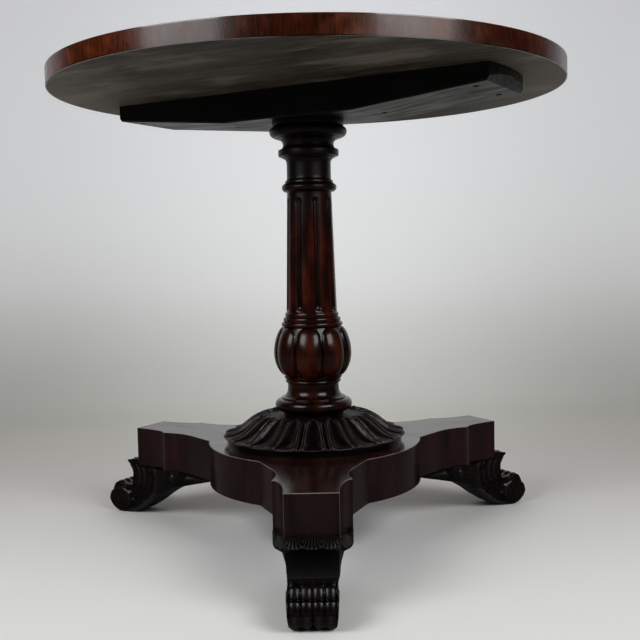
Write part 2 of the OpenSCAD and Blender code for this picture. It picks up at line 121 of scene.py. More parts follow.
def pointsAt(places, length, pairs):
    # pairs of values that go with the points of a curve, read at other places along its length
    return np.stack([np.interp(places, length, pairs[:, k]) for k in range(2)], 1)


def softCurve(curve, soften, longest, sharpest, spacing=None):
    # the curve walked at even quarter millimetres and blurred by soften, then sampled so that no step
    # is longer than longest or turns more than sharpest degrees; spacing(points) can ask for finer steps
    walk = 0.25
    length = lengthAlong(curve)
    points = pointsAt(np.linspace(0, length[-1], int(length[-1] / walk) + 1), length, curve)
    soft = blurAlong(points, soften / walk)
    soft[0], soft[-1] = points[0], points[-1]
    step = np.diff(soft, axis=0)
    heading = np.unwrap(np.arctan2(step[:, 1], step[:, 0]))
    turning = np.abs(np.gradient(heading))
    limit = longest if spacing is None else np.minimum(longest, spacing((soft[1:] + soft[:-1]) / 2))
    cost = np.linalg.norm(step, axis=1) / limit + turning / np.radians(sharpest)
    total = np.concatenate([[0], np.cumsum(cost)])
    chosen = np.linspace(0, total[-1], int(total[-1]) + 2)
    return pointsAt(chosen, total, soft)


def curveNormals(curve):
    # unit normals, to the right of the way along the curve
    along = np.gradient(curve, axis=0)
    along /= np.linalg.norm(along, axis=1, keepdims=True) + 1e-9
    return np.stack([along[:, 1], -along[:, 0]], 1)


def reliefOf(height, rowBlur, columnBlur):
    # how far a carved height stands over the average round it: ridges positive, hollows negative
    mean = blurAlong(height, rowBlur)
    mean = blurAlong(mean.T, columnBlur, wrap=True).T
    return height - mean


def gridPiece(name, points, material, replaced, closeRows=False, grain=None, relief=None, dull=None):
    # A mesh from a grid of points in millimetres. Each row is a closed ring, and the rows either close in a
    # ring too or end in one flat face each. The step along a row crossed with the step to the next row
    # points outwards. Edges that turn by more than 40 degrees stay sharp.
    rows, columns = points.shape[:2]
    i, j = np.meshgrid(np.arange(rows if closeRows else rows - 1), np.arange(columns), indexing="ij")
    nextRow, nextColumn = (i + 1) % rows, (j + 1) % columns
    quads = np.stack([
        i * columns + j, i * columns + nextColumn, nextRow * columns + nextColumn, nextRow * columns + j
    ], -1).reshape(-1, 4)
    corner = quads.ravel()
    starts = np.arange(0, len(corner), 4)
    if not closeRows:
        first = np.arange(columns)[::-1]
        last = (rows - 1) * columns + np.arange(columns)
        starts = np.concatenate([starts, [len(corner), len(corner) + columns]])
        corner = np.concatenate([corner, first, last])
    mesh = bpy.data.meshes.new(name)
    mesh.vertices.add(rows * columns)
    mesh.vertices.foreach_set("co", (points * mm).astype(np.float32).ravel())
    mesh.loops.add(len(corner))
    mesh.loops.foreach_set("vertex_index", corner.astype(np.int32))
    mesh.polygons.add(len(starts))
    mesh.polygons.foreach_set("loop_start", starts.astype(np.int32))
    mesh.update(calc_edges=True)
    mesh.polygons.foreach_set("use_smooth", np.ones(len(starts), bool))
    mesh.set_sharp_from_angle(angle=np.radians(40))
    for kind, values in (("relief", relief), ("dull", dull)):
        if values is not None:
            onPoints = mesh.attributes.new(kind, "FLOAT", "POINT")
            onPoints.data.foreach_set("value", values.astype(np.float32).ravel())
    if grain is not None:
        onPoints = mesh.attributes.new("grain", "FLOAT_VECTOR", "POINT")
        onPoints.data.foreach_set("vector", (grain * mm).astype(np.float32).ravel())
    mesh.materials.append(material)
    piece = bpy.data.objects.new(name, mesh)
    scene.collection.objects.link(piece)
    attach(piece, "root")
    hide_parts(*replaced)
    print(f"{name}: {rows} rows of {columns}, {2 * len(quads)} triangles in its sides")


# Materials

def hexColour(code):
    # sRGB hex to linear colour
    srgb = np.array([int(code[k:k + 2], 16) for k in (1, 3, 5)]) / 255
    linear = np.where(srgb <= 0.04045, srgb / 12.92, ((srgb + 0.055) / 1.055) ** 2.4)
    return (*(float(c) for c in linear), 1.0)


def addNode(material, kind, settings=None, links=None):
    # one node with its settings, by property or socket, and its links, from a node or a socket
    node = material.node_tree.nodes.new("ShaderNode" + kind)
    for key, value in (settings or {}).items():
        if isinstance(key, str) and hasattr(node, key):
            setattr(node, key, value)
        elif isinstance(key, int):
            node.inputs[key].default_value = value
        else:
            next(s for s in node.inputs if s.enabled and s.name == key).default_value = value
    for key, source in (links or {}).items():
        if isinstance(source, bpy.types.Node):
            source = next(s for s in source.outputs if s.enabled)
        target = node.inputs[key] if isinstance(key, int) else next(
            s for s in node.inputs if s.enabled and s.name == key)
        material.node_tree.links.new(source, target)
    return node


# settings of a Mix node that multiplies two colours
multiply = {"data_type": "RGBA", "blend_type": "MULTIPLY", "Factor": 1.0}


def newMaterial(name):
    material = bpy.data.materials.new(name)
    material.use_nodes = True
    material.node_tree.nodes.clear()
    return material


def finishMaterial(material, settings, links):
    # the surface shader and the output
    shader = addNode(material, "BsdfPrincipled", settings, links)
    addNode(material, "OutputMaterial", links={"Surface": shader})
    return material


def grainNoise(material, place, size, turn, detail=3.0, rough=0.6, warp=0.0):
    # noise drawn out along the fibres: size is its grain in millimetres along three axes after the turn
    turned = addNode(material, "Mapping", {
        "vector_type": "TEXTURE", "Rotation": tuple(np.radians(turn)), "Scale": tuple(s * mm for s in size)
    }, {"Vector": place})
    return addNode(material, "TexNoise", {
        "Scale": 1.0, "Detail": detail, "Roughness": rough, "Distortion": warp
    }, {"Vector": turned})


def stretch(material, value, low, high, toLow=0.0, toHigh=1.0):
    # a value from low to high brought to the range from toLow to toHigh
    return addNode(material, "MapRange", {
        "From Min": low, "From Max": high, "To Min": toLow, "To Max": toHigh
    }, {"Value": value})


def layer(material, below, colour, amount):
    # a colour laid by an amount from 0 to 1 over another, which is a hex colour or comes from a node
    settings = {"data_type": "RGBA", "B": hexColour(colour)}
    if isinstance(below, str):
        return addNode(material, "Mix", settings | {"A": hexColour(below)}, {"Factor": amount})
    return addNode(material, "Mix", settings, {"Factor": amount, "A": below})


def ramp(material, value, stops, low, high):
    # colours laid along a value that runs from low to high, one hex colour for each place
    share = stretch(material, value, low, high)
    node = addNode(material, "ValToRGB", links={"Fac": share})
    stripe = node.color_ramp
    stripe.interpolation = "B_SPLINE"
    while len(stripe.elements) < len(stops):
        stripe.elements.new(0.5)
    for element, (at, colour) in zip(stripe.elements, stops):
        element.position = (at - low) / (high - low)
        element.color = hexColour(colour)
    return node.outputs["Color"]


def objectPlace(material, angle=0):
    # object coordinates, turned about the upright axis so that X runs in the direction of the angle
    place = addNode(material, "TexCoord").outputs["Object"]
    if angle == 0:
        return place
    turned = {"vector_type": "TEXTURE", "Rotation": (0, 0, np.radians(angle))}
    return addNode(material, "Mapping", turned, {"Vector": place})


def ownPlace(material):
    # the piece's own grain direction, laid on its vertices with the fibres along Z
    return addNode(material, "Attribute", {"attribute_name": "grain"}).outputs["Vector"]


def nearEdge(material, value, edge, width):
    # 1 where a coordinate comes within a width of an edge, from either side, in millimetres
    off = addNode(material, "Math", {"operation": "SUBTRACT", 1: edge * mm}, {0: value})
    off = addNode(material, "Math", {"operation": "ABSOLUTE"}, {0: off})
    return stretch(material, off, width * mm, width * mm * 0.5)


def largest(material, *masks):
    # the strongest of several masks at each place
    result = masks[0]
    for mask in masks[1:]:
        result = addNode(material, "Math", {"operation": "MAXIMUM"}, {0: result, 1: mask})
    return result


def both(material, one, other):
    # two masks multiplied; the other may be a plain number
    if isinstance(other, (int, float)):
        return addNode(material, "Math", {"operation": "MULTIPLY", 1: other}, {0: one})
    return addNode(material, "Math", {"operation": "MULTIPLY"}, {0: one, 1: other})


# turns of the fibres: along Z, and along X
upright, lengthwise = (0, 0, 0), (0, 90, 0)


def woodColour(material, look, place, turn):
    # Straight mahogany as the eye meets it: bands of lighter and darker growth along the fibres, a warm
    # cloud where light comes back out of the wood, and short dark pores, drawn 1 mm wide to show at all.
    across, along = look["figure"]
    figure = grainNoise(material, place, (across, across, along), turn, 4.0, 0.6, 0.35)
    wide = look["cloud"]
    cloud = grainNoise(material, place, (wide, wide, wide * look.get("cloudLong", 3.5)), turn, 2.0, 0.5, 0.2)
    fibre = grainNoise(material, place, (1.0, 1.0, 26), turn, 2.0, 0.6)
    colour = layer(material, look["dark"], look["middle"], stretch(material, figure, 0.34, 0.66))
    colour = layer(material, colour, look["warm"], stretch(material, cloud, 0.46, 0.68, 0, look["glow"]))
    pores = stretch(material, fibre, 0.3, 0.62, look["pores"], 1.12)
    colour = addNode(material, "Mix", multiply, {"A": colour, "B": pores})
    return colour, cloud, fibre


def polished(material, look, colour, cloud, fibre, dull=None):
    # French polish over wood: a soft base gloss with a thin clearer coat, uneven where it is worn
    uneven = look.get("uneven", 0.05)
    gloss = stretch(material, cloud, 0.3, 0.7, look["rough"] - uneven, look["rough"] + uneven)
    if dull is not None:
        gloss = addNode(material, "Mix", {"data_type": "FLOAT", "B": 0.6}, {"Factor": dull, "A": gloss})
    bump = {"Strength": look.get("bump", 0.2), "Distance": 0.12 * mm}
    bump = addNode(material, "Bump", bump, {"Height": fibre})
    return finishMaterial(material, {
        "IOR": look["ior"], "Coat Weight": look["coat"], "Coat Roughness": 0.1
    }, {"Base Color": colour, "Roughness": gloss, "Normal": bump})


def carvedMahogany(name, look, ownGrain=False):
    # Mahogany that was turned or carved, stained nearly black and French-polished. Its hollows are darker,
    # partly dark wax and partly painted shade, and its ridges lighter, partly rubbed by hands and dusters and
    # partly a painted highlight.
    material = newMaterial(name)
    place = ownPlace(material) if ownGrain else objectPlace(material)
    colour, cloud, fibre = woodColour(material, look, place, upright)
    if "paintedShade" in look:
        # painted shade: darker towards its foot by the collar and towards its head under the top; the head is
        # duller as well
        height = addNode(material, "SeparateXYZ", links={0: place}).outputs[2]
        stops = [(at * mm, grey) for at, grey in look["paintedShade"]]
        paintedShade = ramp(material, height, stops, stops[0][0], stops[-1][0])
        colour = layer(material, colour, look["waxAndShade"], paintedShade)
        dull = stretch(material, height, 0.5, 0.6, 0, 0.45)
    else:
        dull = addNode(material, "Attribute", {"attribute_name": "dull"}).outputs["Fac"]
    relief = addNode(material, "Attribute", {"attribute_name": "relief"}).outputs["Fac"]
    # hollows darkened: partly dark wax, partly painted shade
    colour = layer(material, colour, look["waxAndShade"], stretch(material, relief, -look["hollowDepth"], -0.1, 1, 0))
    # ridges lightened: partly wear, partly a painted highlight
    wornAndLit = stretch(material, relief, look.get("ridgeFrom", 0.2), look["ridgeTop"], 0, look["ridgeShare"])
    colour = layer(material, colour, look["wornAndLit"], wornAndLit)
    return polished(material, look, colour, cloud, fibre, dull)


def veneeredMahogany(name, look, angle=0, turn=upright, edges=None):
    # Mahogany veneer or solid mahogany in flat pieces, French-polished, with a line along its sharp edges:
    # pale on the plinth, partly wear and partly a painted highlight, and dark on the rim.
    # edges gives a mask of those edges from the three coordinates, in metres along the piece.
    material = newMaterial(name)
    place = objectPlace(material, angle)
    colour, cloud, fibre = woodColour(material, look, place, turn)
    if edges is not None:
        split = addNode(material, "SeparateXYZ", links={0: place})
        mask = edges(material, *split.outputs)
        # the plinth's pale edge lines are partly wear, partly a painted highlight
        edgeAmount = both(material, mask, stretch(material, cloud, 0.3, 0.6, 0.45, look["arrisShare"]))
        colour = layer(material, colour, look["arris"], edgeAmount)
    return polished(material, look, colour, cloud, fibre)


# Pillar

pillarSizes = {
    "tenon": 24, "seat": 47.7, "baseHeight": 54, "base": 61.8, "neck": 40.9, "roll": 44.6,
    "bulbHeight": 88.5, "bulb": 62.5, "bulbTop": 50.6, "ringsHeight": 23,
    "shaftHeight": 190.5, "shaftFoot": 40.4, "shaftHead": 35.3,
    "astragalHeight": 22.5, "astragal": 43.6, "plainHeight": 23, "band": 47.9, "cap": 61.4,
    "leafLip": 2.8,        # the collar's leaf tips over the seat
    "lobes": 8, "turn": -6, "columnsPerLobe": 28,
    "grooveHalf": 4.9, "grooveDepth": 3.8, "grooveFoot": 1, "grooveHead": 9,
    "lobeHeight": 0.115,   # share of the radius that the lobes stand over their ground
    "soften": 0.45,
}
pillarLook = {
    "dark": "#0e0201", "middle": "#1c0501", "warm": "#3e1002", "glow": 0.9, "waxAndShade": "#040101",
    "wornAndLit": "#40170a",
    "figure": (3, 150), "cloud": 20, "pores": 0.8, "hollowDepth": 1.3, "ridgeTop": 1.8, "ridgeShare": 0.25,
    "ior": 1.32, "rough": 0.24, "coat": 0.08,
    # painted shade at heights in millimetres: white is fully darkened, black not at all
    "paintedShade": [
        (190, "#ebebeb"), (215, "#ebebeb"), (240, "#818181"), (300, "#000000"),
        (470, "#000000"), (560, "#ebebeb"), (600, "#ebebeb"),
    ],
}


def buildPillar(p):
    # The outline goes from the foot of the lower tenon up to the head of the upper one. Its radius then
    # varies with the angle: eight lobes swell from the bulb like domes, with their ends rounded as
    # arches, and eight round-ended grooves run up the shaft between eight plain panels.
    seatZ = collarHigh - p["leafLip"]
    bulbZ = seatZ + p["baseHeight"]
    ringsZ = bulbZ + p["bulbHeight"]
    shaftZ = ringsZ + p["ringsHeight"]
    astragalZ = shaftZ + p["shaftHeight"]
    plainZ = astragalZ + p["astragalHeight"]
    capitalZ = plainZ + p["plainHeight"]
    bulbMiddle = bulbZ + 0.53 * p["bulbHeight"]
    ringStep = p["ringsHeight"] / 3
    base, neck, roll, band, cap = p["base"], p["neck"], p["roll"], p["band"], p["cap"]
    head, astragal = p["shaftHead"], p["astragal"]
    outline = np.concatenate([
        [[p["tenon"], footTop + 0.5], [p["tenon"], seatZ], [p["seat"], seatZ]],
        quarterCurve((p["seat"], seatZ + 1.5), (base - 8.8, seatZ + 8.5), False),
        beadCurve(base - 8.8, base, seatZ + 8.5, seatZ + 27.5),
        [[base - 10.3, seatZ + 27.5], [base - 10.3, seatZ + 30]],
        quarterCurve((base - 11.3, seatZ + 30.5), (neck, seatZ + 46), True),
        [[neck, bulbZ - 1]],
        beadCurve(neck + 0.6, roll, bulbZ - 1, bulbZ + 5),
        bellyCurve((p["bulb"], bulbMiddle), (roll - 1, bulbZ + 5))[::-1],
        bellyCurve((p["bulb"], bulbMiddle), (p["bulbTop"], ringsZ)),
        *[beadCurve(p["bulbTop"] - 3.1 - 3.1 * k, p["bulbTop"] - 1.6 - 3.1 * k,
            ringsZ + ringStep * k, ringsZ + ringStep * (k + 1)) for k in range(3)],
        [[p["shaftFoot"], shaftZ], [head, astragalZ]],
        beadCurve(head + 1, astragal, astragalZ + 0.5, astragalZ + 14.5),
        [[astragal - 5.3, astragalZ + 14.5], [astragal - 5.8, astragalZ + 18.5]],
        quarterCurve((astragal - 6.3, astragalZ + 18.5), (head - 0.3, plainZ), True),
        quarterCurve((band - 6, capitalZ + 8.5), (head - 0.3, capitalZ), True)[::-1],
        [[band - 6, capitalZ + 10], [band - 1, capitalZ + 11], [band, capitalZ + 12.5]],
        [[band, capitalZ + 20.5], [band - 1, capitalZ + 21.5]],
        quarterCurve((band - 2.5, capitalZ + 22), (band - 7.8, capitalZ + 29), True),
        quarterCurve((band - 7.8, capitalZ + 29), (cap - 10.5, capitalZ + 39), False),
        beadCurve(cap - 10.5, cap, capitalZ + 40, capitalZ + 58.5),
        [[cap - 5.2, capitalZ + 58.5], [cap - 4.8, bearerLow], [p["tenon"], bearerLow]],
        [[p["tenon"], boardLow - 0.5]],
    ])
    lobeLow, lobeHigh = bulbZ + 9.5, ringsZ + 0.5
    grooveLow = shaftZ + p["grooveFoot"] + p["grooveHalf"]
    grooveHigh = astragalZ - p["grooveHead"] - p["grooveHalf"]

    def spacing(points):
        # finer rows over the bulb and round the ends of the grooves
        z = points[:, 1]
        ends = hump(z, grooveLow - 2, 9) + hump(z, grooveHigh + 2, 9)
        return np.where((z > lobeLow - 2) & (z < lobeHigh + 2), 1.1, 6 - 5.2 * np.clip(ends, 0, 1))

    profile = softCurve(outline, p["soften"], 6, 18, spacing)
    radius, z = profile[:, :1], profile[:, 1:]
    share = (np.arange(p["columnsPerLobe"]) + 0.5) / p["columnsPerLobe"] - 0.5
    share = share + 0.6 * np.sin(2 * np.pi * share) / (2 * np.pi)
    lobe = np.repeat(np.arange(p["lobes"]), p["columnsPerLobe"])
    turned = np.tile(share, p["lobes"])
    angle = np.radians(armAngles["front"] + p["turn"] + 360 / p["lobes"] * (lobe + turned))[None, :]
    share = turned[None, :]
    pitch = 2 * np.pi * radius / p["lobes"]
    onBulb = ease(z, lobeLow - 1.5, lobeLow) * (1 - ease(z, lobeHigh, lobeHigh + 1.5))
    up = np.clip((z - lobeHigh + 21) / 21, 0, 1)
    down = np.clip((lobeLow + 22 - z) / 22, 0, 1)
    arch = np.clip(1 - up ** 2.6, 0, 1) ** 0.42 * np.clip(1 - down ** 2.4, 0, 1) ** 0.5
    across = np.clip(np.abs(share) / (0.478 * arch + 1e-3), 0, 1)
    dome = (1 - across ** 2) ** 0.5 * (1 - up ** 7) ** 0.5 * (1 - down ** 7) ** 0.5
    ground = p["lobeHeight"] * (1 - 0.45 * up ** 2 - 0.35 * down ** 2)
    carved = -onBulb * radius * ground * (1 - dome)
    past = np.maximum(0, np.maximum(grooveLow - z, z - grooveHigh))
    away = ((0.5 - np.abs(share)) * pitch) ** 2 + past ** 2
    groove = np.sqrt(np.clip(1 - away / p["grooveHalf"] ** 2, 0, 1)) * ease(z, grooveLow - 5, grooveLow + 4)
    carved = carved - p["grooveDepth"] * groove
    rim = carved + radius
    points = np.stack([rim * np.cos(angle), rim * np.sin(angle), np.broadcast_to(z, rim.shape)], -1)
    # concave places in the outline count as hollows too, for the painted shade there: the outline against its
    # average over 30 mm
    length = lengthAlong(profile)
    even = np.arange(0, length[-1], 1.0)
    evenRadius = np.interp(even, length, profile[:, 0])[:, None]
    level = np.interp(length, even, (evenRadius - blurAlong(evenRadius, 6))[:, 0])[:, None]
    relief = 0.9 * reliefOf(carved, 5, 5) + 0.25 * np.clip(level, -2, 3)
    material = carvedMahogany("polished mahogany, pillar", pillarLook)
    gridPiece("turned_pillar", points, material, ["pillar"], relief=relief)


# Collar

collarSizes = {
    "bore": 24.15, "outer": 146, "edge": 5, "tip": 76, "leafLip": 2.8, "leaves": 20, "columnsPerLeaf": 34,
    "dishShare": 0.29, "dishDepth": 4.6, "dishTop": 83,
    "ribs": (0.032, 0.108),   # places of the two ribs outside the dish, as shares of a leaf
    "ribHeight": 1.8, "grooveDepth": 3.0, "grooveHalf": 1.2,
    "scallop": 1.2, "curl": 2.2, "soften": 0.6,
}
collarLook = {
    "dark": "#040101", "middle": "#090303", "warm": "#1c0705", "glow": 0.5, "waxAndShade": "#010101",
    "wornAndLit": "#4a3e3b", "figure": (8, 60), "cloud": 22, "pores": 0.8,
    "hollowDepth": 0.8, "ridgeFrom": 0.7, "ridgeTop": 1.7, "ridgeShare": 0.8,
    "ior": 1.27, "rough": 0.34, "coat": 0.05,
}


def buildCollar(c):
    # The outline runs from the underside round the edge and up an ogee to the leaf tips and the flat seat.
    # Each leaf is a spoon-shaped dish with a raised rib round it, and a narrow groove parts the leaves.
    seatZ = collarHigh - c["leafLip"]
    ogeeIn, ogeeOut = c["tip"] + 6, c["outer"] - 4
    s = np.linspace(1, 0, 33)
    ogeeLow = collarLow + c["edge"]
    ogee = ogeeLow + (collarHigh - ogeeLow) * (1 + np.cos(np.pi * s)) / 2
    outline = np.concatenate([
        [[c["bore"], collarLow], [c["outer"] - 3, collarLow], [c["outer"] - 0.6, collarLow + 1.2]],
        [[c["outer"], collarLow + c["edge"] - 1.5]],
        np.stack([ogeeIn + (ogeeOut - ogeeIn) * s, ogee], 1),
        [[c["tip"] + 1.5, collarHigh - 0.4], [c["tip"] - 1, seatZ + 0.6], [c["tip"] - 2.2, seatZ - 0.9]],
        [[c["tip"] - 3.4, seatZ - 0.9], [c["tip"] - 4.4, seatZ], [c["bore"], seatZ], [c["bore"], seatZ - 3]],
    ])

    def spacing(points):
        # finer rows under the leaves than on the flat parts
        return np.where((points[:, 0] > c["tip"] - 5) & (points[:, 1] > collarLow + 1), 1.1, 8)

    profile = softCurve(outline, c["soften"], 8, 14, spacing)
    normal = curveNormals(profile)
    radius, z = profile[:, :1], profile[:, 1:]
    onLeaf = ease(z, collarLow + 1.5, collarLow + 3.5) * ease(radius, c["tip"] - 3, c["tip"] + 1)
    share = (np.arange(c["columnsPerLeaf"]) + 0.5) / c["columnsPerLeaf"] - 0.5
    leaf = np.repeat(np.arange(c["leaves"]), c["columnsPerLeaf"])
    share = np.tile(share, c["leaves"])
    angle = np.radians(armAngles["front"] + 360 / c["leaves"] * (leaf + share))[None, :]
    share = np.abs(share)[None, :]
    pitch = 2 * np.pi * radius / c["leaves"]
    out = np.clip((radius - c["dishTop"]) / (c["outer"] - c["dishTop"]), 0, 1)
    arch = np.clip((c["dishTop"] + 17 - radius) / 17, 0, 3)
    half = c["dishShare"] * (0.86 + 0.26 * out)
    within = np.sqrt((share / half) ** 2 + arch ** 2)
    outside = (within - 1) * half
    depth = c["dishDepth"] * (0.55 + 0.6 * np.sin(np.pi * np.clip(out * 1.15, 0, 1)))
    dish = -depth * np.clip(1 - within ** 2, 0, 1) ** 0.6
    thin = 0.6 + 0.4 * out
    ribs = hump(outside, c["ribs"][0], 0.021) + 0.8 * hump(outside, c["ribs"][1], 0.023)
    rib = c["ribHeight"] * thin * ribs
    valley = -1.5 * thin * hump(outside, sum(c["ribs"]) / 2, 0.014)
    between = (0.5 - share) * pitch
    groove = -c["grooveDepth"] * hump(between, 0, c["grooveHalf"]) * ease(radius, c["tip"] + 4, c["tip"] + 16)
    curl = c["curl"] * hump(share * pitch, 0, 4.5) * hump(radius, c["tip"] + 3.5, 3.2)
    notch = -1.6 * hump(between, 0, 2.2) * hump(radius, c["tip"] + 1, 6)
    carved = onLeaf * (dish + rib + valley + groove + curl + notch)
    carved = np.minimum(carved, c["ribHeight"] + 1.5)
    scallop = -c["scallop"] * (2 * share) ** 2.5 * ease(radius, c["outer"] - 14, c["outer"] - 1)
    r = radius + normal[:, :1] * carved + scallop
    r = np.minimum(r, c["outer"])
    height = z + normal[:, 1:] * carved
    points = np.stack([r * np.cos(angle), r * np.sin(angle), height], -1)
    # painted shade darkens the seat round the pillar, between its foot and the leaf tips, and the leaves'
    # outer edge is lightened, partly wear and partly a painted highlight
    onSeat = 1 - ease(radius, c["tip"] - 6, c["tip"] + 4)
    relief = reliefOf(carved, 3, 3) - 2 * onSeat + 1.5 * hump(radius, c["outer"] - 1.5, 1.5)
    dull = np.broadcast_to(onSeat, relief.shape)
    material = carvedMahogany("polished mahogany, collar", collarLook)
    gridPiece("leaf_collar", points, material, ["collar"], closeRows=True,
        relief=relief, dull=dull)


# Feet

footSizes = {
    "tail": 178, "tailDrop": 13, "armEnd": 343.6, "crestRise": 9.5, "tip": 374.3, "tipRise": 7.5,
    "lip": 3, "throat": 355, "throatRadius": 38, "scroll": 385, "scrollRadius": 25.2, "scrollFlat": 0.5,
    "knuckle": (388, 46), "knuckleRadius": 11, "faceRadius": 42, "notch": (369, 53), "crease": (400, 41),
    "scrollStart": (404, 41),
    # the underside from the tail to the floor
    "underside": ((262, 59.5), (286, 49), (308, 35), (328, 20), (344, 8.5), (356, 2.2), (368, 0.3), (380, 0)),
    # places behind that face the tip, the throat, the notch, the knuckle's top and the scroll's start
    "facing": ((178, 82), (262, 58.5), (312, 27), (356, 2), (390, 0.5)),
    "toeHalf": 29.3, "kneeHalf": 33.6, "crestHalf": 35.5, "flare": 7, "voluteHalf": 54, "backRound": 13,
    "blockLow": 72.6, "blockBack": (232, 244), "blockFront": (286, 314),
    "eye": (257, 78), "eyeRadius": 10, "dish": (45.5, 83), "dishHalf": (5.2, 9.5),
    "reeds": 4, "reedDepth": 4.2, "crestLobes": 3, "flutes": 4, "fluteDepth": 5,
    "sweep": (0.3, 0.5, 0.82, 0.88),   # how far back the flutes reach at the tip, throat, notch and knuckle
    "reach": {"front": 0, "right": 8, "left": 8},   # the side feet's scrolls stand out farther
    "frontColumns": 77, "sideColumns": 104, "backColumns": 16, "cornerColumns": 7,
}
footLook = {
    "dark": "#050201", "middle": "#0a0303", "warm": "#160704", "glow": 0.4, "waxAndShade": "#020101",
    "wornAndLit": "#302b2b",
    "figure": (8, 70), "cloud": 20, "pores": 0.82, "hollowDepth": 1.2, "ridgeTop": 1.2, "ridgeShare": 0.75,
    "ior": 1.31, "rough": 0.3, "coat": 0.04,
}


def buildFoot(f, arm, angle, material, index):
    # Sections run from a front line (crest, throat, knuckle and scroll) to a back line (tail, belly and
    # floor). Each section is a rectangle with round corners, as wide as the foot is at each point, and the
    # carving then moves the surface: reeds in front, flutes, belly and the volute's eye at the sides.
    scrollZ = f["scrollRadius"] - f["scrollFlat"]
    tipZ = footTop + f["tipRise"]
    # the throat's arc begins under the lip of the crest and ends level with the notch
    throatU = f["throat"] + f["throatRadius"]
    lean = np.arccos((throatU - f["tip"] + 0.6) / f["throatRadius"])
    throatZ = tipZ - f["lip"] - f["throatRadius"] * np.sin(lean)
    throatEnd = np.arcsin((throatZ - f["notch"][1]) / f["throatRadius"])
    top = footTop - 0.2
    # the knuckle's flatter face carries on from its round top
    turn = np.radians(35)
    inward = f["faceRadius"] - f["knuckleRadius"]
    faceCentre = (f["knuckle"][0] - inward * np.cos(turn), f["knuckle"][1] - inward * np.sin(turn))
    front = np.concatenate([
        [[f["armEnd"], top], [f["armEnd"], footTop + f["crestRise"]]],
        [[(f["armEnd"] + f["tip"]) / 2, footTop + f["crestRise"] - 0.9], [f["tip"], tipZ]],
        [[f["tip"], tipZ - f["lip"] + 1]],
        arcCurve((throatU, throatZ), f["throatRadius"], 180 - np.degrees(lean), 180 + np.degrees(throatEnd)),
        [f["notch"]],
        arcCurve(f["knuckle"], f["knuckleRadius"], 140, 35),
        arcCurve(faceCentre, f["faceRadius"], 34, 19), [f["crease"]],
        arcCurve((f["scroll"], scrollZ), f["scrollRadius"], 38, 1.5),
    ])
    back = np.concatenate([
        [[f["tail"], top], [f["tail"], footTop - f["tailDrop"]]], f["underside"],
        arcCurve((f["scroll"], scrollZ), f["scrollRadius"], -85, -1.5),
    ])
    back[:, 1] = np.maximum(back[:, 1], 0)
    frontSoft = softCurve(front, 0.7, 0.85, 9)
    backSoft = softCurve(back, 2.0, 1.0, 9)
    frontLength, backLength = lengthAlong(frontSoft), lengthAlong(backSoft)

    def lengthAt(curve, place):
        # running length where a curve comes nearest to a place
        return lengthAlong(curve)[np.argmin(((curve - place) ** 2).sum(axis=1))]

    # running lengths of these places on the front line, and of the places that face them behind
    knuckleTop = (f["knuckle"][0], f["knuckle"][1] + f["knuckleRadius"])
    places = [(f["tip"], tipZ), (f["throat"], throatZ), f["notch"], knuckleTop, f["scrollStart"]]
    tipAt, throatAt, notchAt, knuckleAt, scrollAt = (lengthAt(frontSoft, place) for place in places)
    facingAt = [lengthAt(backSoft, place) for place in f["facing"]]
    partner = np.interp(
        frontLength, [0, tipAt, throatAt, notchAt, knuckleAt, scrollAt, frontLength[-1]],
        [0, *facingAt, backLength[-1]])
    partner = np.maximum.accumulate(blurAlong(partner, 5))
    partner[0], partner[-1] = 0, backLength[-1]
    backRow = pointsAt(partner, backLength, backSoft)
    frontNormal = -curveNormals(frontSoft)
    backNormal = pointsAt(partner, backLength, curveNormals(backSoft))

    # the loop of a section: x runs from -1 to 1 across, y from -1 in front to 1 behind,
    # given as a corner of the inner rectangle and a direction of the round corner
    def run(start, end, count, direction, dense=1.0):
        start, end = np.array(start), np.array(end)
        t = np.linspace(0, 1, count, endpoint=False)[:, None] ** dense
        return np.hstack([start + (end - start) * t, np.tile(direction, (count, 1))])

    def corner(at, start):
        count = f["cornerColumns"]
        turned = np.radians(start + np.linspace(0, 90, count, endpoint=False))
        return np.hstack([np.tile(at, (count, 1)), np.stack([np.cos(turned), np.sin(turned)], 1)])

    # one side from the front to the back; the other is its mirror image, walked from the back to the
    # front, so it starts at the back corner and leaves out the front one, where the next corner begins
    outward = run((1, -1), (1, 1), f["sideColumns"], (1, 0), 1.1)
    homeward = np.concatenate([[[-1, 1, -1, 0]], outward[:0:-1] * [-1, 1, -1, 1]])
    loop = np.concatenate([
        run((-1, -1), (1, -1), f["frontColumns"], (0, -1)), corner((1, -1), -90), outward, corner((1, 1), 0),
        run((1, 1), (-1, 1), f["backColumns"], (0, 1)), corner((-1, 1), 90), homeward, corner((-1, -1), 180),
    ])[::-1]
    innerX, innerY, outX, outY = (loop[None, :, k] for k in range(4))
    depth = np.linalg.norm(backRow - frontSoft, axis=1)[:, None]
    rowLength = frontLength[:, None]
    cornerRadius = 0.8 + 3.2 * ease(rowLength, throatAt, knuckleAt)
    # the corners behind are rounder, so that the belly looks full from the side
    backRound = f["backRound"] * ease(rowLength, throatAt, notchAt)
    backRound = backRound * (1 - ease(rowLength, knuckleAt, scrollAt))
    cornerRadius = cornerRadius + backRound * (innerY + 1) / 2
    shareY = np.clip(cornerRadius / (depth / 2 + 1e-6), 0, 0.85)
    y = (1 - shareY) * innerY + shareY * outY
    c = (y + 1) / 2
    u = frontSoft[:, :1] + (backRow[:, :1] - frontSoft[:, :1]) * c
    z = frontSoft[:, 1:] + (backRow[:, 1:] - frontSoft[:, 1:]) * c

